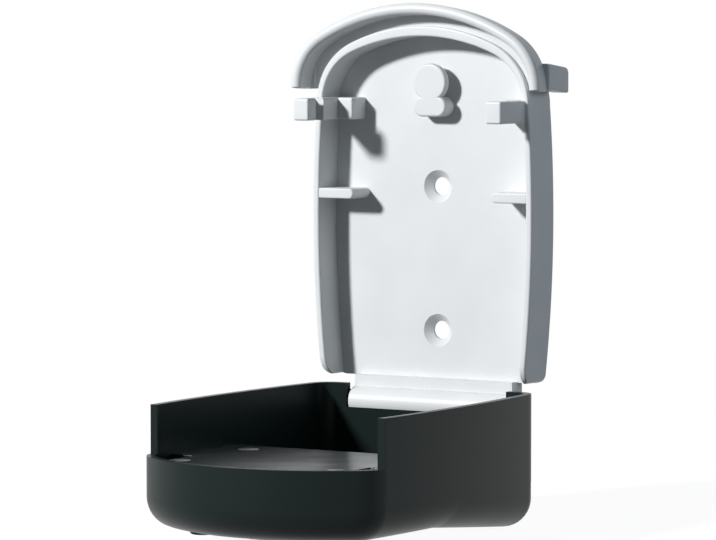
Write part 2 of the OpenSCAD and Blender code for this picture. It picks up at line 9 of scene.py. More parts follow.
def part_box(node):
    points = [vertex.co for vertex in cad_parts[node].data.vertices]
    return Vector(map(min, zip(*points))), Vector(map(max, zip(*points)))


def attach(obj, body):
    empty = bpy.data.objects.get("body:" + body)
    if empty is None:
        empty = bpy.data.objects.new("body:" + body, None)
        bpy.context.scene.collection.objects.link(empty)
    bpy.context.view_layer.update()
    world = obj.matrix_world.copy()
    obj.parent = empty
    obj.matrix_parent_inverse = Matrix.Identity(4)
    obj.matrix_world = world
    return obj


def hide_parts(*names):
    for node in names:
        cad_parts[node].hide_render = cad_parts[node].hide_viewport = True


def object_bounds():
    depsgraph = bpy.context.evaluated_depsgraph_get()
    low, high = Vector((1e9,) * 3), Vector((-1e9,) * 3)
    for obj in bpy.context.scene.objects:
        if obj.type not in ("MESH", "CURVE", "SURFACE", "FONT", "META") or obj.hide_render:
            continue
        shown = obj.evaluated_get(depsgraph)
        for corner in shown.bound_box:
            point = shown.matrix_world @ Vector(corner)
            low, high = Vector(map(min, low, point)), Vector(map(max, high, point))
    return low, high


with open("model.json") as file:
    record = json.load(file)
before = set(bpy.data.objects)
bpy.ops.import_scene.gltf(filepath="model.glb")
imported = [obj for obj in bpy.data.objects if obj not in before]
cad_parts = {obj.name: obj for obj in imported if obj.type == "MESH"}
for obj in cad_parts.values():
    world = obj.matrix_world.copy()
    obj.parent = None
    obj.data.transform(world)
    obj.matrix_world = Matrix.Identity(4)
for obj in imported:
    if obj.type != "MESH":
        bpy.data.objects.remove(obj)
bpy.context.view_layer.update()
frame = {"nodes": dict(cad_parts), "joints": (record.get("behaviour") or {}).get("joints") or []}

# Body casting: the upright half of the safe, a shallow tray with an arched top under a rain hood.
# Die-cast in one piece in zinc alloy with its arms, ledges, hook and hinge barrel, then lacquered silver.
# Two countersunk screws through its back plate hold it on the wall.
MM = 0.001
body_low, body_high = (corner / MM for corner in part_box("body_casting"))
hinge = next(joint for joint in frame["joints"] if joint["name"] == "cover_hinge")
hinge_d = -hinge["pos_m"][1] / MM
hinge_z = hinge["pos_m"][2] / MM

body_half = 31.6
foot_taper = 2.3
foot_lift = 6.26
foot_r = 2.5
belly_z = -3
spring_z = 24.5
arch_rise = 19.6
shoulder_r = 16.6
body_depth = 11
plate_t = 2.4
wall_t = 1.7
arch_t = 2.6
tip_r = 5
edge_r = 0.5
thin_share = 0.45
least_gap = 0.1
foot_z = hinge_z + foot_lift
side_h = belly_z - foot_z
side_r = (side_h ** 2 + foot_taper ** 2) / (2 * foot_taper)
side_steps = 24
corner_steps = 8
shoulder_steps = 12
crown_steps = 36
round_steps = 4


def side_x(z, grow):
    """Half width of the barrel-sided outline at a height, grown outward."""
    return math.sqrt((side_r + grow) ** 2 - (z - belly_z) ** 2) - side_r + body_half


def arch(half, rise, shoulder, spring):
    """Three-centred arch from right to left, as points in X and Z."""
    crown = ((half - shoulder) ** 2 + rise ** 2 - shoulder ** 2) / (2 * (rise - shoulder))
    turn = math.atan2(half - shoulder, crown - rise)
    low = math.pi / 2 - turn
    stops = [(half - shoulder, spring, shoulder, low * i / shoulder_steps) for i in range(shoulder_steps)]
    stops += [
        (0, spring + rise - crown, crown, low + 2 * turn * i / crown_steps) for i in range(crown_steps + 1)
    ]
    stops += [
        (shoulder - half, spring, shoulder, math.pi / 2 + turn + low * i / shoulder_steps)
        for i in range(1, shoulder_steps + 1)
    ]
    return [(x + r * math.cos(t), z + r * math.sin(t)) for x, z, r, t in stops]


def mirrored(points):
    """The left side of an outline, from its right side."""
    return [(-x, z) for x, z in reversed(points)]


def right_side(grow, foot, top, corner):
    """Right side of the outline from its lower corner up, without its top point."""
    turns = [-math.pi / 2 * (1 - i / corner_steps) for i in range(corner_steps)]
    start = foot + corner
    low = [(side_x(start, grow) + corner * (math.cos(t) - 1), start + corner * math.sin(t)) for t in turns]
    heights = [start + (top - start) * i / side_steps for i in range(side_steps)]
    return low + [(side_x(z, grow), z) for z in heights]


def outline(grow, foot, corner, rise, shoulder):
    """Closed outline of the safe from the front, grown outward."""
    side = right_side(grow, foot, spring_z, corner)
    return side + arch(side_x(spring_z, grow), rise + grow, shoulder + grow, spring_z) + mirrored(side)


def ring(depth, points):
    """Points in X and Z, set a depth in front of the wall."""
    return [Vector((x, -depth, z)) for x, z in points]


def loft(name, rings):
    """A closed solid through rings of points in millimetres."""
    shape = bmesh.new()
    rows = [[shape.verts.new(point * MM) for point in points] for points in rings]
    for low, high in zip(rows, rows[1:]):
        for i in range(len(low)):
            shape.faces.new((low[i - 1], low[i], high[i], high[i - 1]))
    shape.faces.new(rows[0])
    shape.faces.new(rows[-1])
    bmesh.ops.recalc_face_normals(shape, faces=shape.faces)
    mesh = bpy.data.meshes.new(name)
    shape.to_mesh(mesh)
    shape.free()
    piece = bpy.data.objects.new(name, mesh)
    bpy.context.scene.collection.objects.link(piece)
    return piece


def soften(piece, radius):
    """Rounds the edges of a solid that turn by over 50 degrees, once points that nearly meet are joined."""
    shape = bmesh.new()
    shape.from_mesh(piece.data)
    bmesh.ops.remove_doubles(shape, verts=shape.verts, dist=least_gap * MM)
    edges = [edge for edge in shape.edges if edge.calc_face_angle(0) > math.radians(50)]
    bmesh.ops.bevel(
        shape, geom=edges, offset=radius * MM, segments=3, profile=0.5, affect="EDGES", clamp_overlap=True
    )
    shape.to_mesh(piece.data)
    shape.free()
    return piece


def block(name, x, d, z, radius=0.0):
    """A box by its ranges in X, depth and Z, with rounded edges where a radius is given."""
    corners = [(x[0], z[0]), (x[1], z[0]), (x[1], z[1]), (x[0], z[1])]
    piece = loft(name, [ring(d[0], corners), ring(d[1], corners)])
    return soften(piece, radius) if radius else piece


def turned(name, profile, place, along, segments=48):
    """A solid of revolution from pairs of radius and height, standing at a place along X, depth or Z."""
    turns = [2 * math.pi * i / segments for i in range(segments)]
    axes = {"x": ((0, 1, 0), (0, 0, 1), (1, 0, 0)), "d": ((1, 0, 0), (0, 0, 1), (0, -1, 0))}
    axes["z"] = ((1, 0, 0), (0, 1, 0), (0, 0, 1))
    a, b, up = (Vector(axis) for axis in axes[along])
    foot = Vector((place[0], -place[1], place[2]))
    return loft(name, [
        [foot + (a * math.cos(t) + b * math.sin(t)) * radius + up * height for t in turns]
        for radius, height in profile
    ])


def combine(piece, operation, tools):
    """Fuses solids with a piece, or cuts them out of it, into one closed mesh."""
    for tool in tools:
        step = piece.modifiers.new("combine", "BOOLEAN")
        step.solver = "MANIFOLD"
        step.operation = operation
        step.object = tool
    bpy.context.view_layer.update()
    whole = piece.evaluated_get(bpy.context.evaluated_depsgraph_get())
    mesh = bpy.data.meshes.new_from_object(whole)
    piece.modifiers.clear()
    piece.data = mesh
    for tool in tools:
        bpy.data.objects.remove(tool)
    return piece


# The rim wall is a rounded section carried round the outline. It thins towards its two lower tips.
tip_z = foot_z + tip_r
lowest_tip = 0.35
heights = [foot_z + lowest_tip + (tip_r - lowest_tip) * (i / corner_steps) ** 2 for i in range(corner_steps)]
heights += [tip_z + (spring_z - tip_z) * i / side_steps for i in range(side_steps)]


def outer_x(z):
    """Half width outside the rim wall, drawn in at the lower corners."""
    below = max(foot_z + foot_r - z, 0)
    return side_x(max(z, foot_z + foot_r), 0) - foot_r + math.sqrt(foot_r ** 2 - below ** 2)


outer = [(outer_x(z), z) for z in heights]
inner = [(side_x(z, -wall_t), z) for z in heights]
outer += arch(side_x(spring_z, 0), arch_rise, shoulder_r, spring_z) + mirrored(outer)
inner += arch(side_x(spring_z, -wall_t), arch_rise - arch_t, shoulder_r - arch_t, spring_z) + mirrored(inner)
quarter = [math.pi / 2 * i / round_steps for i in range(round_steps + 1)]
wall_rings = []
for start, end in zip(outer, inner):
    start, end = Vector(start), Vector(end)
    across = end - start
    radius = min(edge_r, thin_share * across.length)
    below = max(tip_z - start.y, 0)
    depth = body_depth - tip_r + math.sqrt(tip_r ** 2 - below ** 2)
    section = [(0, 0)]
    section += [(radius * (1 - math.cos(t)), depth - radius * (1 - math.sin(t))) for t in quarter]
    section += [
        (across.length - radius * (1 - math.sin(t)), depth - radius * (1 - math.cos(t))) for t in quarter
    ]
    section += [(across.length, 0)]
    points = [start + across.normalized() * u for u, d in section]
    wall_rings.append([Vector((p.x, -d, p.y)) for p, (u, d) in zip(points, section)])
casting = loft("body_casting_finish", wall_rings)

# Back plate, set just inside the rim wall.
sunk = 0.2
plate = outline(-sunk, foot_z, foot_r, arch_rise, shoulder_r)
fused = [loft("plate", [ring(0, plate), ring(plate_t, plate)])]

# Hood: a web from the arch to a round bead, carried round the arch, with a gutter between and rounded ends.
hood_half = 35.7
hood_z = 28.7
hood_rise = body_high.z - hood_z
hood_shoulder_r = 15.6
hood_depth = 15.6
bead_t = 2.8
bead_r = bead_t / 2
bead_d = hood_depth - bead_r
bead_draft = 0.25
web_t = 2.2
web_reach = 7.1
gutter_depth = 9.9
gutter_t = 1.3
gutter_fall = 0.3
brow_inset = 0.42
brow_depth = 9.96
end_drop = 0.6
bead_steps = 16
end_steps = 6
bead_turn = [math.pi * i / bead_steps for i in range(bead_steps + 1)]
hood_section = [(bead_t, gutter_depth - gutter_t), (web_reach, body_depth - web_t)]
hood_section += [(web_reach, gutter_depth - gutter_fall), (bead_t + bead_draft, gutter_depth)]
hood_section += [(bead_r * (1 + math.cos(t)), bead_d + bead_r * math.sin(t)) for t in bead_turn]
hood_section += [(brow_inset, brow_depth)]
hood_lines = [
    ring(d, arch(hood_half - u, hood_rise - u, hood_shoulder_r - u, hood_z)) for u, d in hood_section
]
hood_rows = [list(points) for points in zip(*hood_lines)]
shrink = [math.pi / 2 * i / end_steps for i in range(1, end_steps)]
caps = []
for row in (hood_rows[0], hood_rows[-1]):
    bead_root, brow = row[3], row[-1]
    middle = (bead_root + brow) / 2
    caps.append([
        [middle + (point - middle) * math.cos(t) - Vector((0, 0, end_drop * math.sin(t))) for point in row]
        for t in shrink
    ])
fused.append(loft("hood", caps[0][::-1] + hood_rows + caps[1]))

# Blocks that carry the hood's ends back to the wall.
end_block_h = 6.4
end_block_w = 4.6
end_block_r = 1.6
end_block_drop = 1
end_block_low = hood_z - end_block_drop
end_block_front = gutter_depth + sunk
back_turn = [math.pi / 2 * (1 + i / round_steps) for i in range(round_steps + 1)]
profile = [(0, end_block_low), (body_depth - web_t, hood_z), (end_block_front, hood_z)]
profile += [(end_block_front, hood_z + end_block_h)]
profile += [
    (end_block_r * (1 + math.cos(t)), end_block_low + end_block_h - end_block_r * (1 - math.sin(t)))
    for t in back_turn
]
for side in (-1, 1):
    ends = (side * (body_high.x - end_block_w), side * body_high.x)
    rings = [[Vector((x, -d, z)) for d, z in profile] for x in ends]
    fused.append(soften(loft("end_block", rings), edge_r))

# Latch arms, each with a stepped root, beside the side walls.
arm_z = 23.25
arm_h = 5.5
arm_w = 4.4
arm_edge_r = 0.55
arm_inset = 0.8
arm_reach = -body_low.y
arm_root_w = 8.6
arm_root_reach = 9
arm_out = side_x(spring_z, 0) - arm_inset
arm_in = arm_out - arm_w
arm_root_in = arm_out - arm_root_w
buried = plate_t - sunk
arm_span = (arm_z - arm_h / 2, arm_z + arm_h / 2)
for side in (-1, 1):
    span = sorted((side * arm_in, side * arm_out))
    root = sorted((side * arm_root_in, side * (arm_in + sunk)))
    fused.append(block("arm", span, (buried, arm_reach), arm_span, arm_edge_r))
    fused.append(block("arm_root", root, (buried, arm_root_reach), arm_span, edge_r))

# Ledges, inward from the side walls, with round ends.
ledge_z = 2
ledge_l = 10
ledge_r = 1.3
ledge_edge_r = 0.4
ledge_turn = [math.pi / 2 + t for t in bead_turn]
for side in (-1, 1):
    tip = side_x(ledge_z, -wall_t) - ledge_l + ledge_r
    bar = [(side * (tip + ledge_r * math.cos(t)), ledge_z + ledge_r * math.sin(t)) for t in ledge_turn]
    root = side * (side_x(ledge_z, -wall_t) + sunk)
    bar += [(root, ledge_z - ledge_r), (root, ledge_z + ledge_r)]
    fused.append(soften(loft("ledge", [ring(buried, bar), ring(body_depth - sunk, bar)]), ledge_edge_r))

# Hook: a wide stem with a round tip that stands up from it.
hook_z = 24
hook_w = 9.4
hook_r = 2.5
hook_reach = 7
hook_tip_r = 4.7
hook_tip_t = 2.2
hook_tip_lift = 6
hook_edge_r = 0.6
stem_steps = 32
spread = hook_w / 2 - hook_r
stem = [
    (math.copysign(spread, math.cos(t)) + hook_r * math.cos(t), hook_z + hook_r * math.sin(t))
    for t in (2 * math.pi * (i + 0.5) / stem_steps for i in range(stem_steps))
]
fused.append(soften(loft("hook_stem", [ring(buried, stem), ring(hook_reach, stem)]), hook_edge_r))
tip_profile = [(hook_tip_r, hook_reach - hook_tip_t), (hook_tip_r, hook_reach)]
fused.append(soften(turned("hook_tip", tip_profile, (0, 0, hook_z + hook_tip_lift), "d"), hook_edge_r))

# Hinge barrel along the foot.
barrel_r = 3.6
barrel_half = 22.8
barrel_edge_r = 0.4
barrel_steps = 64
barrel_profile = [(barrel_r, -barrel_half), (barrel_r, barrel_half)]
barrel = turned("barrel", barrel_profile, (0, hinge_d, hinge_z), "x", barrel_steps)
fused.append(soften(barrel, barrel_edge_r))
fused.append(block("barrel_web", (-barrel_half, barrel_half), (0, hinge_d), (hinge_z, foot_z + sunk)))

# Notches for the latch bolts, bore for the hinge pin and the two countersunk holes for wall screws.
over = 1
far = 200
notch_from = 15.8
notch_to = 19.4
notch_in = 2.7
pin_bore_r = 1.34
screw_hole_r = 2.3
screw_sink_r = 4.1
screw_heights = (4, -32)
cuts = [turned("pin_bore", [(pin_bore_r, -far), (pin_bore_r, far)], (0, hinge_d, hinge_z), "x")]
for side in (-1, 1):
    span = sorted((side * (arm_in - over), side * (arm_in + notch_in)))
    cuts.append(block("notch", span, (notch_from, notch_to), (arm_z - arm_h, arm_z + arm_h)))
sink = screw_sink_r - screw_hole_r
for z in screw_heights:
    hole = [(screw_hole_r, -over), (screw_hole_r, plate_t - sink), (screw_sink_r + over, plate_t + over)]
    cuts.append(turned("screw_hole", hole, (0, 0, z), "d"))
combine(casting, "UNION", fused)
combine(casting, "DIFFERENCE", cuts)


def smooth(piece):
    """Smooth shading, broken at edges that turn by over 35 degrees and weighted by the faces' areas."""
    piece.data.shade_smooth()
    piece.data.set_sharp_from_angle(angle=math.radians(35))
    weighted = piece.modifiers.new("even shading", "WEIGHTED_NORMAL")
    weighted.keep_sharp = True
    weighted.weight = 100


smooth(casting)


def linear(hex_colour):
    """An sRGB hex colour as linear light."""
    parts = [int(hex_colour[i:i + 2], 16) / 255 for i in (1, 3, 5)]
    return [c / 12.92 if c <= 0.04045 else ((c + 0.055) / 1.055) ** 2.4 for c in parts] + [1.0]


def add(tree, kind, links=(), **settings):
    """Adds a shader node with its settings, input values by name, and links from other sockets."""
    node = tree.nodes.new(kind)
    values = settings.pop("values", {})
    for name, value in settings.items():
        setattr(node, name, value)
    for name, value in values.items():
        node.inputs[name].default_value = value
    for name, socket in dict(links).items():
        tree.links.new(socket, node.inputs[name])
    return node


def material(name, **values):
    """A new material with its principled shader's own values."""
    finish = bpy.data.materials.new(name)
    finish.use_nodes = True
    shader = finish.node_tree.nodes["Principled BSDF"]
    for socket, value in values.items():
        shader.inputs[socket.replace("_", " ")].default_value = value
    return finish, finish.node_tree, shader


def dress(piece, finish):
    """Gives a piece one material."""
    piece.data.materials.clear()
    piece.data.materials.append(finish)


# Silver lacquered die-cast zinc alloy: pale and satin, with the faint orange peel of a sprayed coat.
silver_pale = linear("#d9dbdc")
silver_deep = linear("#cbced0")
peel_mm = 0.9
peel_deep_mm = 0.05
drift_mm = 14
silver, tree, shader = material("lacquered die-cast zinc", IOR=1.5, Specular_IOR_Level=0.3)
place = add(tree, "ShaderNodeTexCoord").outputs["Object"]
drift = add(tree, "ShaderNodeTexNoise", {"Vector": place}, values={"Scale": 1 / (drift_mm * MM), "Detail": 2})
tone = add(tree, "ShaderNodeMix", {"Factor": drift.outputs["Fac"]}, data_type="RGBA")
tone.inputs["A"].default_value = silver_deep
tone.inputs["B"].default_value = silver_pale
tree.links.new(tone.outputs["Result"], shader.inputs["Base Color"])
sheen = add(
    tree, "ShaderNodeMapRange", {"Value": drift.outputs["Fac"]}, values={"To Min": 0.42, "To Max": 0.34}
)
tree.links.new(sheen.outputs["Result"], shader.inputs["Roughness"])
peel = add(tree, "ShaderNodeTexNoise", {"Vector": place}, values={"Scale": 1 / (peel_mm * MM), "Detail": 3})
dimple = add(
    tree, "ShaderNodeBump", {"Height": peel.outputs["Fac"]},
    values={"Strength": 0.12, "Distance": peel_deep_mm * MM}
)
tree.links.new(dimple.outputs["Normal"], shader.inputs["Normal"])
dress(casting, silver)
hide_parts("body_casting")
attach(casting, "body")

# Hinge pin: a plain rod of drawn steel, zinc plated, as long as the cover is wide over its lugs.
# Pushed through the lugs and the barrel, where it stays by its fit.
pin_edge_r = 0.2
join_mm = 0.001


def ease(node, finish, radius):
    """Finishes a part as it comes from the frame: joins its faces, breaks its edges and sets its material."""
    piece = frame["nodes"][node]
    weld = piece.modifiers.new("joined faces", "WELD")
    weld.merge_threshold = join_mm * MM
    broken = piece.modifiers.new("broken edges", "BEVEL")
    broken.width = radius * MM
    broken.segments = 2
    broken.limit_method = "ANGLE"
    broken.angle_limit = math.radians(35)
    broken.harden_normals = True
    piece.data.shade_smooth()
    dress(piece, finish)


# Zinc-plated steel: bright grey, with the fine lengthwise lines of drawn and rolled stock.
# The lines are drawn coarser than they are, so that they show.
steel_deep = linear("#a3a7ab")
steel_pale = linear("#c3c6c9")
drawn_mm = 0.35
drawn_stretch = (0.06, 1, 1)


def drawn_metal(name, deep, pale, smoothest, roughest):
    """A bare metal with fine lines along X, from a deep tone to a pale one."""
    metal, tree, shader = material(name, Metallic=1.0)
    place = add(tree, "ShaderNodeTexCoord").outputs["Object"]
    drawn = add(tree, "ShaderNodeMapping", {"Vector": place}, values={"Scale": drawn_stretch})
    lines = add(
        tree, "ShaderNodeTexNoise", {"Vector": drawn.outputs["Vector"]},
        values={"Scale": 1 / (drawn_mm * MM), "Detail": 2}
    )
    tone = add(tree, "ShaderNodeMix", {"Factor": lines.outputs["Fac"]}, data_type="RGBA")
    tone.inputs["A"].default_value = deep
    tone.inputs["B"].default_value = pale
    tree.links.new(tone.outputs["Result"], shader.inputs["Base Color"])
    wear = add(
        tree, "ShaderNodeMapRange", {"Value": lines.outputs["Fac"]},
        values={"To Min": smoothest, "To Max": roughest}
    )
    tree.links.new(wear.outputs["Result"], shader.inputs["Roughness"])
    return metal


steel = drawn_metal("zinc-plated steel", steel_deep, steel_pale, 0.22, 0.38)
ease("hinge_pin", steel, pin_edge_r)

# Cover shell: the deep black lid that nests over the body and carries the lock, here swung down.
# Injection moulded in ABS with a rounded front, a leaning lower panel and two lugs that turn on the pin.
cover_gap = 0.45
cover_t = 1.9
front_t = 2.2
rim_gap = 0.5
arch_rim = 12.3
step_z = 26.2
cover_depth = 29.5
cover_rise = 16
cover_shoulder_r = 8.2
panel_lean = 0.1
panel_bury = 0.3
panel_edge = 0.05
panel_z = -1
front_r = 7.5
corner_r = 6
foot_rise = 1.7
lock_z = -7
sill_t = 1.6
shelf_back = 12.9
shelf_front = 14.7
lug_in = 23.15
lug_out = 26.05
lug_r = 2.7
boss_x = 21.7
boss_r = 2.4
boss_heights = (0.5, 30.1)
slide_gap = 0.3
least_corner = 0.6
fillet_steps = 10
cover_out = cover_gap + cover_t
cover_foot = hinge_z + foot_rise
inner_foot = cover_foot + cover_t
inner_corner = corner_r - cover_t
inner_r = front_r / 2
cavity_front = cover_depth - front_t
fillet = [math.pi / 2 * i / fillet_steps for i in range(fillet_steps + 1)]


def panel_outline(grow, foot, corner, top):
    """Outline of the cover's lower panel, cut straight at its top."""
    side = right_side(grow, foot, top, corner)
    return side + [(side_x(top, grow), top), (-side_x(top, grow), top)] + mirrored(side)


def leaned(points):
    """The lower panel leans out towards the foot, from just inside the front face."""
    return [p + Vector((0, panel_bury + panel_lean * (p.z - panel_z), 0)) for p in points]


def rounded_front(name, shape, start, end, radius, settle=list):
    """A solid from one depth to another whose front edge is rounded. The shape takes an inset."""
    rings = [ring(start, shape(0))]
    for t in fillet:
        points = ring(end - radius * (1 - math.sin(t)), shape(radius * (1 - math.cos(t))))
        rings.append(settle(points))
    return loft(name, rings)


def cover_shape(grow, foot, corner):
    """The whole cover's outline, for an inset."""
    return lambda inset: outline(
        grow - inset, foot + inset, max(corner - inset, least_corner), cover_rise, cover_shoulder_r
    )


def panel_shape(grow, foot, corner, top):
    """The lower panel's outline, for an inset."""
    return lambda inset: panel_outline(grow - inset, foot + inset, max(corner - inset, least_corner), top)


cover = rounded_front(
    "cover_shell_finish", cover_shape(cover_out, cover_foot, corner_r), rim_gap, cover_depth, front_r
)
combine(cover, "UNION", [rounded_front(
    "panel", panel_shape(cover_out - panel_edge, cover_foot, corner_r, panel_z),
    rim_gap + cover_t, cover_depth, front_r, leaned
)])
cavity = rounded_front(
    "cavity", cover_shape(cover_gap, inner_foot, inner_corner), rim_gap - over, cavity_front, inner_r
)
kept = [block("sill", (-far, far), (shelf_front, far), (lock_z, lock_z + sill_t))]
for z in boss_heights:
    for x in (-boss_x, boss_x):
        kept.append(turned("boss", [(boss_r, shelf_front), (boss_r, far)], (x, 0, z), "d"))
combine(cavity, "DIFFERENCE", kept)
combine(cavity, "UNION", [rounded_front(
    "panel_cavity", panel_shape(cover_gap - panel_edge, inner_foot, inner_corner, lock_z - over),
    rim_gap + cover_t, cavity_front, inner_r, leaned
)])
barrel_room = barrel_r + slide_gap
sweep_profile = [(barrel_room, -lug_in), (barrel_room, lug_in)]
combine(cover, "DIFFERENCE", [
    cavity,
    block("arch_end", (-far, far), (rim_gap - over, arch_rim), (step_z, far)),
    block("barrel_room", (-lug_in, lug_in), (rim_gap - over, hinge_d), (cover_foot - over, inner_foot + over)),
    turned("barrel_sweep", sweep_profile, (0, hinge_d, hinge_z), "x", barrel_steps),
])
lugs = []
for side in (-1, 1):
    ends = sorted((side * lug_in, side * lug_out))
    lugs.append(turned("lug", [(lug_r, x) for x in ends], (0, hinge_d, hinge_z), "x"))
    lugs.append(block("lug_root", ends, (hinge_d - lug_r / 2, hinge_d + lug_r), (hinge_z, inner_foot)))
combine(cover, "UNION", lugs)

# Bores for the pin, the plate screws and the buttons, and the slot for the release tab's neck.
column_x = 14.5
row_z = 1.6
row_pitch = 7.4
rows = 5
button_bore_r = 3.22
bore_chamfer = 0.3
neck_half = 2.3
neck_span = (16.9, 25.5)
lock_screw_r = 1.3
pin_far = lug_out + slide_gap
cuts = [turned("pin_bore", [(pin_bore_r, -pin_far), (pin_bore_r, pin_far)], (0, hinge_d, hinge_z), "x")]
screw_profile = [(lock_screw_r, shelf_front - over), (lock_screw_r, cavity_front - over)]
for x in (-boss_x, boss_x):
    for z in boss_heights:
        cuts.append(turned("screw_bore", screw_profile, (x, 0, z), "d"))
bore_profile = [
    (button_bore_r, cavity_front - over), (button_bore_r, cover_depth - bore_chamfer),
    (button_bore_r + bore_chamfer, cover_depth), (button_bore_r + bore_chamfer, cover_depth + over)
]
for x in (-column_x, column_x):
    for i in range(rows):
        cuts.append(turned("button_bore", bore_profile, (x, 0, row_z + i * row_pitch), "d"))
cuts.append(block("neck_slot", (-neck_half, neck_half), (cavity_front - over, cover_depth + over), neck_span))
combine(cover, "DIFFERENCE", cuts)
axis = Vector((0, -hinge_d, hinge_z)) * MM
swung_open = Matrix.Translation(axis) @ Matrix.Rotation(math.pi / 2, 4, "X") @ Matrix.Translation(-axis)
cover.data.transform(swung_open)
smooth(cover)

# Black ABS, moulded against a spark-eroded tool: near black and satin, with a fine even grain.
# The grain is drawn coarser than it is, so that it shows.
abs_black = linear("#111a19")
abs_worn = linear("#172221")
grain_mm = 0.45
grain_deep_mm = 0.03
flow_mm = 18
black, tree, shader = material("moulded black ABS", IOR=1.53, Specular_IOR_Level=0.1)
place = add(tree, "ShaderNodeTexCoord").outputs["Object"]
grain = add(tree, "ShaderNodeTexNoise", {"Vector": place}, values={"Scale": 1 / (grain_mm * MM), "Detail": 3})
flow = add(tree, "ShaderNodeTexNoise", {"Vector": place}, values={"Scale": 1 / (flow_mm * MM), "Detail": 2})
tone = add(tree, "ShaderNodeMix", {"Factor": flow.outputs["Fac"]}, data_type="RGBA")
tone.inputs["A"].default_value = abs_black
tone.inputs["B"].default_value = abs_worn
tree.links.new(tone.outputs["Result"], shader.inputs["Base Color"])
sheen = add(
    tree, "ShaderNodeMapRange", {"Value": flow.outputs["Fac"]}, values={"To Min": 0.36, "To Max": 0.28}
)
tree.links.new(sheen.outputs["Result"], shader.inputs["Roughness"])
dimple = add(
    tree, "ShaderNodeBump", {"Height": grain.outputs["Fac"]},
    values={"Strength": 0.2, "Distance": grain_deep_mm * MM}
)
tree.links.new(dimple.outputs["Normal"], shader.inputs["Normal"])
dress(cover, black)
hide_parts("cover_shell")
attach(cover, "cover")

# Lock back plate: closes the lock in the cover's arch end, with a cut at each side for the arms.
# Moulded in black ABS, polished, and screwed to four bosses inside the cover.
shelf_gap = cover_gap - slide_gap
shelf_edge_r = 0.45
shelf_steps = 12
arm_room_above = 4.6
sink_play = 0.04
shelf_heights = [lock_z + (spring_z - lock_z) * i / shelf_steps for i in range(shelf_steps)]
shelf_side = [(side_x(z, shelf_gap), z) for z in shelf_heights]
shelf_arch = arch(side_x(spring_z, shelf_gap), cover_rise + shelf_gap, cover_shoulder_r + shelf_gap, spring_z)
shelf_outline = shelf_side + shelf_arch + mirrored(shelf_side)
shelf = loft("lock_back_plate_finish", [ring(shelf_back, shelf_outline), ring(shelf_front, shelf_outline)])
arm_room_in = arm_in - 2 * slide_gap
arm_room = (arm_z - arm_h / 2 - over, arm_z + arm_h / 2 + arm_room_above)
cuts = []
for side in (-1, 1):
    span = sorted((side * arm_room_in, side * far))
    cuts.append(block("arm_room", span, (shelf_back - over, shelf_front + over), arm_room))
combine(shelf, "DIFFERENCE", cuts)
soften(shelf, shelf_edge_r)
cuts = []
sink_r = 2 * lock_screw_r + sink_play
shelf_t = shelf_front - shelf_back
hole = [(sink_r + over, -over), (lock_screw_r, sink_r - lock_screw_r), (lock_screw_r, shelf_t + over)]
for x in (-boss_x, boss_x):
    for z in boss_heights:
        cuts.append(turned("screw_hole", hole, (x, shelf_back, z), "d"))
combine(shelf, "DIFFERENCE", cuts)
shelf.data.transform(swung_open)
smooth(shelf)

# Polished black ABS: a mirror-like skin that waves a little, with faint scuffs from use.
gloss_black = linear("#1a2022")
wave_mm = 16
wave_deep_mm = 0.6
scuff_mm = 1.4
gloss, tree, shader = material("polished black ABS", IOR=1.53, Base_Color=gloss_black)
place = add(tree, "ShaderNodeTexCoord").outputs["Object"]
wave = add(tree, "ShaderNodeTexNoise", {"Vector": place}, values={"Scale": 1 / (wave_mm * MM), "Detail": 1})
scuff = add(tree, "ShaderNodeTexNoise", {"Vector": place}, values={"Scale": 1 / (scuff_mm * MM), "Detail": 4})
rough = add(
    tree, "ShaderNodeMapRange", {"Value": scuff.outputs["Fac"]}, values={"To Min": 0.2, "To Max": 0.27}
)
tree.links.new(rough.outputs["Result"], shader.inputs["Roughness"])
ripple = add(
    tree, "ShaderNodeBump", {"Height": wave.outputs["Fac"]},
    values={"Strength": 0.5, "Distance": wave_deep_mm * MM}
)
tree.links.new(ripple.outputs["Normal"], shader.inputs["Normal"])
dress(shelf, gloss)
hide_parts("lock_back_plate")
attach(shelf, "cover")

# Lock works between the back plate and the front: steel gate plate, latch bolts, leaf springs and screws,
# and the brass channel that guides the bolts. Stamped, bent or cold formed, and held between the two.
screw_edge_r = 0.08
stamped_edge_r = 0.15
leaf_edge_r = 0.05
for node in ("plate_screws", "tab_screw"):
    ease(node, steel, screw_edge_r)
for node in ("gate_plate", "latch_bolt_left", "latch_bolt_right"):
    ease(node, steel, stamped_edge_r)
for node in ("return_spring_left", "return_spring_right"):
    ease(node, steel, leaf_edge_r)

# Rolled brass: warm and bright, with fine lines along its length.
brass_deep = linear("#b08d4e")
brass_pale = linear("#c9a866")
brass = drawn_metal("rolled brass", brass_deep, brass_pale, 0.26, 0.4)
ease("bolt_guide", brass, stamped_edge_r)

# Release tab: the ribbed thumb piece that slides up to throw the bolts, moulded in the cover's black ABS.
# Its neck passes through a slot in the front, and a screw holds it on the gate plate.
tab_edge_r = 0.25
ease("release_tab", black, tab_edge_r)

# Push buttons: ten caps moulded in black ABS, each with a stop flange and a stem, and a dished face
# with a number that is pad printed on it thickly in white.
cap_r = 3.1
cap_round = 0.7
dish_r = 9
dish = 0.35
dish_steps = 8
flange_r = 3.6
stem_r = 1.2
cap_h = 2.9
flange_h = 2.4
number_h = 3.3
number_raise = 0.1
dish_edge = math.sqrt(dish_r ** 2 - (dish_r - dish) ** 2)
dish_radii = [dish_edge * i / dish_steps for i in range(dish_steps, 0, -1)]
dish_profile = [(r, dish - dish_r + math.sqrt(dish_r ** 2 - r ** 2)) for r in dish_radii]

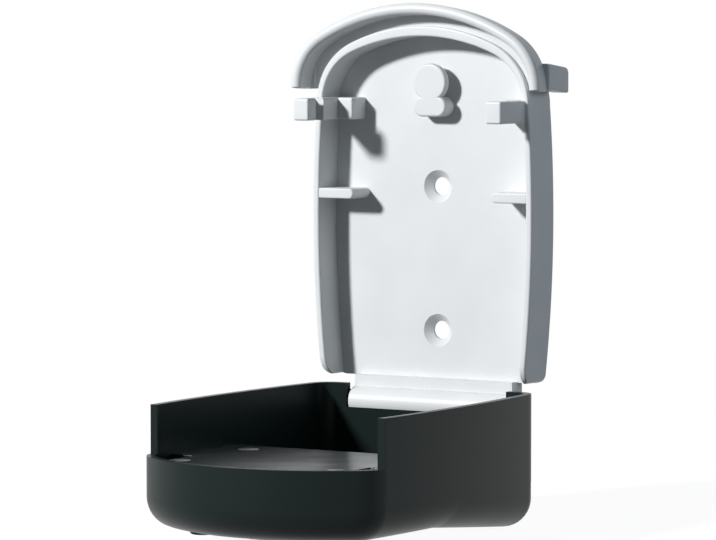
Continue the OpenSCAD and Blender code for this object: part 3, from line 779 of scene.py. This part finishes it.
# White printing ink: matt, and a little uneven in how thickly it lies.
ink_thin = linear("#d5d6d4")
ink_full = linear("#ecedeb")
ink_mm = 0.6
ink, tree, shader = material("white pad print", Roughness=0.5, IOR=1.5)
place = add(tree, "ShaderNodeTexCoord").outputs["Object"]
patch = add(tree, "ShaderNodeTexNoise", {"Vector": place}, values={"Scale": 1 / (ink_mm * MM), "Detail": 2})
tone = add(tree, "ShaderNodeMix", {"Factor": patch.outputs["Fac"]}, data_type="RGBA")
tone.inputs["A"].default_value = ink_thin
tone.inputs["B"].default_value = ink_full
tree.links.new(tone.outputs["Result"], shader.inputs["Base Color"])
scene = bpy.context.scene
for number in range(2 * rows):
    node = f"button_{number}"
    low, high = (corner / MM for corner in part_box(node))
    middle = ((low.x + high.x) / 2, -(low.y + high.y) / 2, low.z)
    profile = [(stem_r, high.z - low.z), (stem_r, cap_h + flange_h), (flange_r, cap_h + flange_h)]
    profile += [(flange_r, cap_h), (cap_r, cap_h)]
    profile += [(cap_r - cap_round * (1 - math.cos(t)), cap_round * (1 - math.sin(t))) for t in quarter]
    profile += dish_profile
    cap = turned(f"{node}_finish", profile, middle, "z")
    smooth(cap)
    dress(cap, black)
    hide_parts(node)
    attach(cap, f"key_{number}")
    text = bpy.data.curves.new(f"number_{number}", "FONT")
    text.body = str(number)
    text.size = number_h * MM
    text.extrude = number_raise * MM
    text.align_x = "CENTER"
    text.align_y = "CENTER"
    written = bpy.data.objects.new("written", text)
    scene.collection.objects.link(written)
    bpy.context.view_layer.update()
    mesh = bpy.data.meshes.new_from_object(written.evaluated_get(bpy.context.evaluated_depsgraph_get()))
    bpy.data.objects.remove(written)
    centre = Vector((middle[0], -middle[1], low.z + dish)) * MM
    mesh.transform(Matrix.Translation(centre) @ Matrix.Rotation(math.pi, 4, "X"))
    figure = bpy.data.objects.new(f"number_{number}", mesh)
    scene.collection.objects.link(figure)
    dress(figure, ink)
    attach(figure, f"key_{number}")

# Stage: a pale floor just under the open cover, which fades into a white background.
scene.view_settings.view_transform = "Standard"
floor_gap = 0.2
floor_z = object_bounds()[0][2] - floor_gap * MM
floor_r = 0.6
floor_steps = 96
fade_from = 0.12
fade_to = 0.54
floor_grey = linear("#626262")
floor_glow = 0.95
turns = [2 * math.pi * i / floor_steps for i in range(floor_steps)]
sheet = bmesh.new()
sheet.faces.new([sheet.verts.new((floor_r * math.cos(t), floor_r * math.sin(t), floor_z)) for t in turns])
mesh = bpy.data.meshes.new("floor")
sheet.to_mesh(mesh)
sheet.free()
floor = bpy.data.objects.new("floor", mesh)
scene.collection.objects.link(floor)


def seen_directly(tree):
    """1 for rays from the camera, and for those mirrored or let through by the object."""
    path = add(tree, "ShaderNodeLightPath").outputs
    first = add(
        tree, "ShaderNodeMath", {0: path["Is Camera Ray"], 1: path["Is Glossy Ray"]}, operation="MAXIMUM"
    )
    return add(
        tree, "ShaderNodeMath", {0: first.outputs[0], 1: path["Is Transmission Ray"]}, operation="MAXIMUM"
    ).outputs[0]


# A matt floor that glows white where it is seen, less the shadow on it, and fades out at its rim.
pale, tree, shader = material("pale floor")
tree.nodes.remove(shader)
place = add(tree, "ShaderNodeTexCoord").outputs["Object"]
reach = add(tree, "ShaderNodeVectorMath", {0: place}, operation="LENGTH")
fade = add(
    tree, "ShaderNodeMapRange", {"Value": reach.outputs["Value"]}, interpolation_type="SMOOTHSTEP",
    values={"From Min": fade_from, "From Max": fade_to}
)
matt = add(tree, "ShaderNodeBsdfDiffuse", values={"Color": floor_grey})
lift = add(tree, "ShaderNodeMath", {0: seen_directly(tree)}, operation="MULTIPLY")
lift.inputs[1].default_value = floor_glow
glow = add(tree, "ShaderNodeEmission", {"Strength": lift.outputs[0]})
lit = add(tree, "ShaderNodeAddShader", {0: matt.outputs[0], 1: glow.outputs[0]})
clear = add(tree, "ShaderNodeBsdfTransparent")
mixed = add(tree, "ShaderNodeMixShader", {0: fade.outputs[0], 1: lit.outputs[0], 2: clear.outputs[0]})
tree.links.new(mixed.outputs[0], tree.nodes["Material Output"].inputs["Surface"])
dress(floor, pale)

# World: white where it is seen, and a soft cool fill on the object.
fill_cool = linear("#cfe2ee")
fill_strength = 0.11
world = bpy.data.worlds.new("studio")
world.use_nodes = True
tree = world.node_tree
fill = tree.nodes["Background"]
fill.inputs["Color"].default_value = fill_cool
fill.inputs["Strength"].default_value = fill_strength
white = add(tree, "ShaderNodeBackground", values={"Color": (1, 1, 1, 1), "Strength": 1.0})
both = add(tree, "ShaderNodeMixShader", {0: seen_directly(tree), 1: fill.outputs[0], 2: white.outputs[0]})
tree.links.new(both.outputs[0], tree.nodes["World Output"].inputs["Surface"])
scene.world = world

# Lights: a small white key light from the upper left in front, for firm shadows, and a soft cool light
# from the right and a little behind, which lifts the outer side of the body.
key_white = linear("#ffffff")
side_cool = linear("#dbeaf6")


def lamp(name, place, size, watts, colour):
    """A round area light at a place in metres, turned to the origin."""
    light = bpy.data.objects.new(name, bpy.data.lights.new(name, "AREA"))
    light.data.shape = "DISK"
    light.data.size = size
    light.data.energy = watts
    light.data.color = colour[:3]
    light.location = place
    light.rotation_euler = light.location.to_track_quat("Z", "Y").to_euler()
    scene.collection.objects.link(light)


lamp("key_light", (-0.55, -1.1, 0.55), 0.16, 23.8, key_white)
lamp("side_light", (1.1, 0.3, 0.2), 0.5, 2.4, side_cool)

# Camera at the photograph's viewing angle, a little above and to the right of the front.
image_w, image_h = 716, 540
focal_px = 4400
distance = 1.1
origin_px = (443, 202)
azimuth, elevation = math.radians(30.7), math.radians(2.8)
level = math.cos(elevation)
back = Vector((math.sin(azimuth) * level, -math.cos(azimuth) * level, math.sin(elevation)))
right = Vector((math.cos(azimuth), math.sin(azimuth), 0))
up = right.cross(-back)
offset = right * (image_w / 2 - origin_px[0]) + up * (origin_px[1] - image_h / 2)
aim = offset * distance / focal_px
camera = bpy.data.objects.new("camera", bpy.data.cameras.new("camera"))
camera.data.sensor_width = 36
camera.data.lens = focal_px / image_w * camera.data.sensor_width
camera.location = back * distance
camera.rotation_euler = (aim - camera.location).to_track_quat("-Z", "Y").to_euler()
scene.collection.objects.link(camera)
scene.camera = camera
